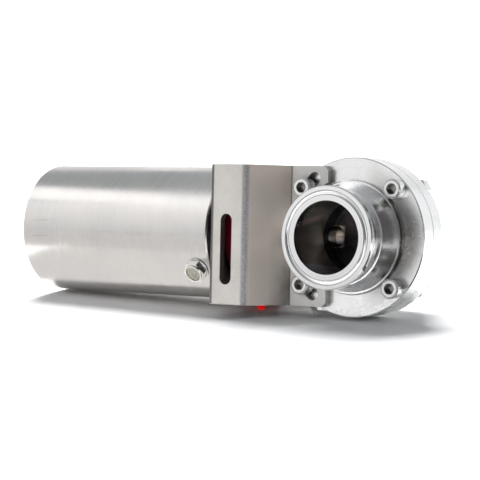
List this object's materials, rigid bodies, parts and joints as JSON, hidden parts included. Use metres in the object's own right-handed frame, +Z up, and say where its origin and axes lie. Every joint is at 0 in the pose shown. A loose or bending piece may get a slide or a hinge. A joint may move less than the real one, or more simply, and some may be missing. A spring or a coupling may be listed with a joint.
{
  "type": "sanitary butterfly valve with pneumatic actuator",
  "caption": "Clamp-ended stainless steel butterfly valve turned by a spring-return air actuator through a bent sheet bracket with a red position pointer.",
  "frame": {"origin": "centre of the sealing face of the front clamp ferrule", "axes": "+Z up as the valve lies on a bench, flow bore along +Y from the front face, stem and actuator along X with the actuator towards -X"},
  "size_m": [0.231, 0.072, 0.079],
  "materials": {
    "polished_steel": "turned and polished stainless steel",
    "brushed_tube": "brushed stainless steel tube",
    "sheet_steel": "matt pickled stainless steel sheet",
    "screw_steel": "bright stainless steel fasteners",
    "inner_steel": "machined steel",
    "spring_steel": "dark spring steel",
    "cover_metal": "turned aluminium",
    "black_rubber": "matt",
    "bush_plastic": "filled bearing plastic",
    "red_plastic": "moulded red plastic",
    "filter_metal": "sintered porous metal"
  },
  "bodies": {
    "valve": {"front_body": "polished_steel", "rear_body": "polished_steel", "seat_ring": "black_rubber", "upper_stem_bush": "bush_plastic", "lower_stem_bush": "bush_plastic", "body_bolts": "screw_steel", "bracket_bolts": "screw_steel", "body_washers": "screw_steel", "bracket_washers": "screw_steel", "body_nuts": "screw_steel", "bracket_nuts": "screw_steel", "bracket": "sheet_steel", "bracket_screws": "screw_steel", "actuator_housing": "brushed_tube", "rear_cover": "cover_metal", "rear_cover_ring": "spring_steel", "rear_cover_seal": "black_rubber", "front_cover": "cover_metal", "front_cover_ring": "spring_steel", "front_cover_seal": "black_rubber", "shaft_bush": "bush_plastic", "thrust_washer": "bush_plastic", "shaft_seal": "black_rubber", "vent_plug": "screw_steel", "vent_filter": "filter_metal"},
    "stem": {"disc": "polished_steel", "coupling": "inner_steel", "indicator": "red_plastic", "drive_shaft": "inner_steel", "shaft_ring": "spring_steel"},
    "piston": {"piston": "cover_metal", "piston_seal": "black_rubber", "cam_pins": "inner_steel", "spring": "spring_steel"}
  },
  "joints": [
    {"name": "stem_turn", "type": "hinge", "parent": "valve", "child": "stem", "pos_m": [0, 0.036, 0], "axis": [-1, 0, 0], "range_deg": [0, 90]},
    {"name": "piston_slide", "type": "slide", "parent": "valve", "child": "piston", "axis": [1, 0, 0], "range_m": [0, 0.036], "stiffness_N_per_m": 5500, "springref_m": -0.045, "deforming": ["spring"]}
  ],
  "couplings": [
    {"joint": "stem_turn", "follows": "piston_slide", "rad_per_m": 43.633}
  ]
}
